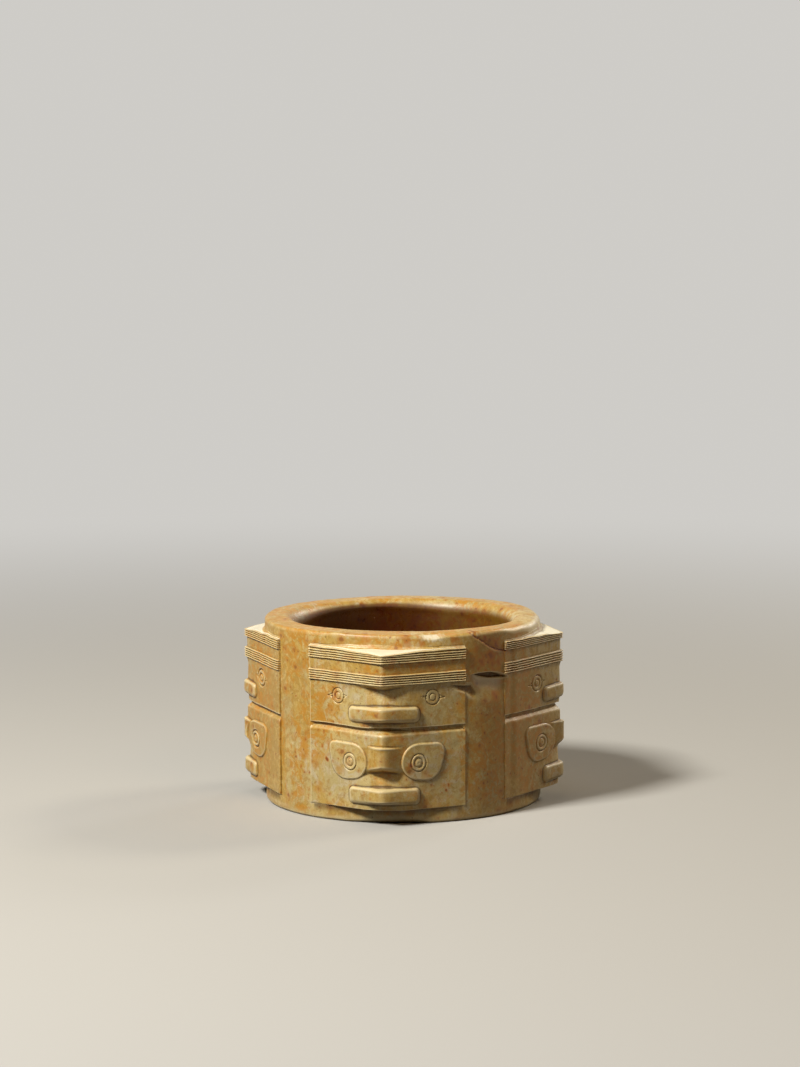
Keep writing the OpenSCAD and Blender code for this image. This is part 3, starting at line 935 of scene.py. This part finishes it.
def stone_material():
    """Mottled cream, grey and ochre stone, marked by the pieces' own attributes."""
    mat = bpy.data.materials.new("jade_stone")
    mat.use_nodes = True
    mat.node_tree.nodes.clear()
    g = Graph(mat)
    co = g.add("TexCoord", out=3)

    # Millimetres, and the same drawn out upwards
    mm = g.stretch(co, 1000.0, 1000.0, 1000.0)
    tall = g.stretch(co, 1000.0, 1000.0, 420.0)

    cloud = g.noise(mm, 0.05, 3.0, 0.5, 0.4)
    patch = g.noise(tall, 0.15, 7.0, 0.68, 0.9)
    pool = g.noise(mm, 0.24, 6.0, 0.65, 1.2)
    mottle = g.noise(mm, 0.45, 6.0, 0.68, 0.6)
    speck = g.noise(mm, 1.1, 5.0, 0.7, 0.4)
    grain = g.noise(mm, 2.6, 4.0, 0.65, 0.3)
    fine = g.noise(mm, 7.0, 3.0, 0.6, 0.0)
    streak = g.noise(g.stretch(co, 700.0, 700.0, 70.0), 1.0, 4.0, 0.6, 0.3)

    # Cream to khaki ground with greyer pools, and golden ochre patches of several sizes
    push = g.times(g.math("SUBTRACT", g.mark("warm"), 0.5), 0.2)
    colour = g.mix(g.ramp(cloud, 0.38, 0.62), linear("#dac07c"), linear("#c8b47a"))
    grey = g.ramp(g.math("SUBTRACT", pool, push), 0.5, 0.6)
    colour = g.tint(colour, grey, 0.85, "#d4c49e")
    ochre = g.ramp(g.math("ADD", patch, push), 0.49, 0.6)
    colour = g.tint(colour, ochre, 0.7, "#c9a03c")
    deep = g.ramp(g.math("ADD", mottle, g.times(push, 0.7)), 0.51, 0.6)
    colour = g.tint(colour, deep, 0.55, "#b0842c")
    colour = g.tint(colour, g.ramp(streak, 0.52, 0.68), 0.3, "#b08230")
    colour = g.tint(colour, g.ramp(speck, 0.47, 0.36), 0.4, "#e0cd96")
    colour = g.tint(colour, g.ramp(speck, 0.57, 0.68), 0.5, "#985f14")
    colour = g.tint(colour, g.ramp(grain, 0.5, 0.72), 0.2, "#9a6a24")
    colour = g.tint(colour, g.ramp(fine, 0.3, 0.7, 1.0, 0.0), 0.2, "#b09464", "MULTIPLY")

    # Orange iron staining, strongest in a few broad areas
    area = g.math("ADD", g.noise(tall, 0.055, 3.0, 0.5, 0.5), push)
    bloom = g.noise(mm, 0.33, 6.0, 0.7, 1.5)
    orange = g.times(g.ramp(area, 0.5, 0.6), g.ramp(bloom, 0.46, 0.57))
    colour = g.tint(colour, orange, 0.8, "#c4840e")

    # Rust dots with a paler halo, in two sizes
    ragged = g.add("VectorMath", props={"operation": "MULTIPLY_ADD"}, i0=g.add("TexNoise", out=1,
                   Vector=mm, Scale=0.9, Detail=3.0), i1=(1.6, 1.6, 1.6), i2=mm)
    for size, share, seed in ((0.24, 0.45, 0.0), (0.55, 0.68, 37.0)):
        shifted = g.add("VectorMath", props={"operation": "ADD"}, i0=ragged, i1=(seed, seed, seed))
        near = g.add("TexVoronoi", Vector=shifted, Scale=size)
        chosen = g.ramp(g.add("SeparateColor", Color=g.add("TexVoronoi", out=1, Vector=shifted,
                        Scale=size)), share, share + 0.05)
        halo = g.times(g.ramp(near, 0.14, 0.5, 1.0, 0.0), chosen)
        dot = g.times(g.ramp(near, 0.08, 0.22, 1.0, 0.0), chosen)
        colour = g.tint(colour, halo, 0.55, "#bd7c1a")
        colour = g.tint(colour, dot, 0.75, "#8c4e0c")

    # Rust flecks
    fleck = g.noise(mm, 0.85, 4.0, 0.65, 0.6)
    where = g.noise(mm, 0.12, 2.0, 0.5)
    rust = g.times(g.ramp(fleck, 0.665, 0.72), g.ramp(where, 0.46, 0.6))
    colour = g.tint(colour, rust, 0.8, "#7d3f12")
    stain = g.mark("stain")
    colour = g.mix(g.ramp(stain, 0.05, 0.75), colour, linear("#bb7216"))
    colour = g.mix(g.ramp(stain, 0.55, 0.95), colour, linear("#7c3c08"))

    # Dirt and painted shade in the cuts, and pale worn edges that are partly painted highlight
    cut = g.mark("cut")
    dirt_and_shade = g.times(g.ramp(cut, 0.12, 0.95), g.ramp(mottle, 0.2, 0.6, 0.55, 1.0))
    colour = g.tint(colour, dirt_and_shade, 0.5, "#553510")
    # The darkest tint goes on the deepest cut marks: painted shade in the saw slot and wedge, under
    # the blocks and along their ends, and dirt and painted shade in the deepest carved lines
    colour = g.tint(colour, g.ramp(cut, 0.65, 1.0), 0.5, "#2e1a08")
    edge = g.mark("edge")
    colour = g.tint(colour, g.ramp(edge, 0.15, 0.8), 0.6, "#ead8a8")

    # Painted highlight on the ledges and partly on the saw mark's bowl, pale bruises and breaks,
    # and the bore browner, partly its own colour and partly painted shade
    pale_and_highlight = g.mark("pale_and_highlight")
    colour = g.tint(colour, pale_and_highlight, 0.9, "#f6efd6")
    bore = g.mark("bore")
    colour = g.mix(g.ramp(bore, 0.0, 0.5), colour, linear("#987c36"), "MULTIPLY")
    colour = g.mix(g.ramp(bore, 0.5, 1.0), colour, linear("#a8823a"), "MULTIPLY")

    # Small pits
    cells = g.add("TexVoronoi", props={"feature": "F1"}, Vector=mm, Scale=0.55, Randomness=1.0)
    sparse = g.noise(mm, 0.6, 2.0, 0.5)
    pit = g.times(g.ramp(cells, 0.0, 0.2, 1.0, 0.0), g.ramp(sparse, 0.55, 0.62))
    colour = g.tint(colour, pit, 0.8, "#6b421c")

    # Dirt, painted shade and pits are duller, and the bore is smoother
    rough = g.ramp(mottle, 0.3, 0.7, 0.4, 0.5)
    rough = g.math("ADD", rough, g.times(g.math("ADD", dirt_and_shade, pit), 0.2), clamp=True)
    rough = g.math("SUBTRACT", rough, g.times(g.ramp(bore, 0.5, 1.0), 0.15), clamp=True)

    # Only grain, pits and rust are bump; all carving and damage is in the mesh
    height = g.math("ADD", g.times(grain, 0.05), g.times(fine, 0.02))
    height = g.math("SUBTRACT", height, g.times(pit, 0.12))
    height = g.math("SUBTRACT", height, g.times(rust, 0.03))
    bump = g.add("Bump", Strength=0.5, Distance=MM, Height=height)

    shader = g.add("BsdfPrincipled", Base_Color=colour, Roughness=rough, IOR=1.58,
                   Normal=bump, Coat_Weight=0.12, Coat_Roughness=0.3)
    g.add("OutputMaterial", Surface=shader)
    return mat


# ---- stage, lights, camera
def paper_material():
    """Pale paper: shaded near the stone, and even and plain further off.

    It throws little light back on to the stone.
    """
    mat = bpy.data.materials.new("studio_paper")
    mat.use_nodes = True
    mat.node_tree.nodes.clear()
    g = Graph(mat)
    seen = g.math("MAXIMUM", g.add("LightPath"), g.add("LightPath", out=3))
    colour = g.mix(seen, (0.09, 0.086, 0.08, 1.0), (0.5, 0.49, 0.47, 1.0))
    lit = g.add("BsdfDiffuse", Color=colour)
    glow = g.add("Emission", Color=(0.62, 0.605, 0.575, 1.0), Strength=1.0)
    away = g.add("VectorMath", out=1, props={"operation": "LENGTH"}, i0=g.add("TexCoord", out=3))
    far = g.times(g.ramp(away, 0.12, 0.75), seen)
    g.add("OutputMaterial", Surface=g.add("MixShader", i0=far, i1=lit, i2=glow))
    return mat


def stage_set():
    """A pale floor that sweeps up into a round backdrop."""
    flat, bend, top, count = 1.6, 1.2, 3.2, 96
    profile = [(0.5, 0.0), (flat, 0.0)]
    for k in range(1, 13):
        out, up = quarter(k / 12.0)
        profile.append((flat + bend * out, bend * up))
    profile.append((flat + bend, top))
    verts = [(0.0, 0.0, 0.0)]
    for r, z in profile:
        verts += [(r * math.cos(2 * math.pi * k / count), r * math.sin(2 * math.pi * k / count), z)
                  for k in range(count)]
    faces = [(0, 1 + k, 1 + (k + 1) % count) for k in range(count)]
    for row in range(len(profile) - 1):
        a = 1 + row * count
        for k in range(count):
            k2 = (k + 1) % count
            faces.append((a + k, a + count + k, a + count + k2, a + k2))
    mesh = bpy.data.meshes.new("studio_floor")
    mesh.from_pydata(verts, [], faces)
    mesh.polygons.foreach_set("use_smooth", [True] * len(faces))
    mesh.update()
    obj = bpy.data.objects.new("studio_floor", mesh)
    bpy.context.scene.collection.objects.link(obj)
    mesh.materials.append(paper_material())


def lamp(name, turn, rise, away, size, power, colour):
    """A soft square lamp that faces the stone, by direction and distance in metres."""
    a, e = math.radians(turn), math.radians(rise)
    aim = Vector((0.0, 0.0, 0.03))
    spot = aim + away * Vector((math.cos(e) * math.cos(a), math.cos(e) * math.sin(a), math.sin(e)))
    data = bpy.data.lights.new(name, "AREA")
    data.shape = "SQUARE"
    data.size = size
    data.energy = power
    data.color = colour
    obj = bpy.data.objects.new(name, data)
    obj.location = spot
    obj.rotation_euler = (aim - spot).to_track_quat("-Z", "Y").to_euler()
    bpy.context.scene.collection.objects.link(obj)


def lights():
    """A key lamp to the left, one above, and weaker ones to the right and behind."""
    lamp("key_lamp", -88.0, 45.0, 1.0, 0.2, 12.5, (1.0, 0.965, 0.88))
    lamp("top_lamp", -70.0, 80.0, 1.0, 0.3, 0.6, (1.0, 0.96, 0.9))
    lamp("fill_lamp", 4.0, 40.0, 1.2, 0.3, 0.9, (1.0, 0.62, 0.28))
    lamp("back_lamp", 104.0, 26.0, 1.3, 0.2, 2.2, (1.0, 0.98, 0.97))
    lamp("side_lamp", 80.0, 36.0, 1.3, 0.25, 4.8, (1.0, 0.9, 0.7))
    world = bpy.data.worlds.new("studio")
    bpy.context.scene.world = world
    world.use_nodes = True
    world.node_tree.nodes["Background"].inputs["Color"].default_value = (1.0, 0.88, 0.74, 1.0)
    world.node_tree.nodes["Background"].inputs["Strength"].default_value = 0.045


def camera():
    """Where the photograph was taken from: 0.86 m away, a little above the rim."""
    turn, rise, away = math.radians(52.363), math.radians(10.114), 0.86
    tilt, pan, roll = (math.radians(a) for a in (3.332, 0.041, -0.305))
    aim = Vector((0.0, 0.0, 0.0265))
    level = math.cos(rise)
    back = Vector((level * math.sin(turn), -level * math.cos(turn), math.sin(rise)))
    right = Vector((math.cos(turn), math.sin(turn), 0.0))
    up = back.cross(right)
    base = Matrix((right, up, back)).transposed()
    base = base @ Matrix.Rotation(tilt, 3, "X") @ Matrix.Rotation(pan, 3, "Y")
    base = base @ Matrix.Rotation(roll, 3, "Z")
    data = bpy.data.cameras.new("camera")
    data.sensor_width = 36.0
    data.sensor_fit = "AUTO"
    data.lens = 99.39
    data.clip_start, data.clip_end = 0.01, 50.0
    obj = bpy.data.objects.new("camera", data)
    obj.matrix_world = Matrix.Translation(aim + away * back) @ base.to_4x4()
    bpy.context.scene.collection.objects.link(obj)
    bpy.context.scene.camera = obj


bpy.context.scene.view_settings.view_transform = "Standard"
STONE = stone_material()
tube_piece()
for stone_block in BLOCKS:
    block_piece(stone_block, True)
    block_piece(stone_block, False)
stage_set()
lights()
camera()

bpy.context.view_layer.update()
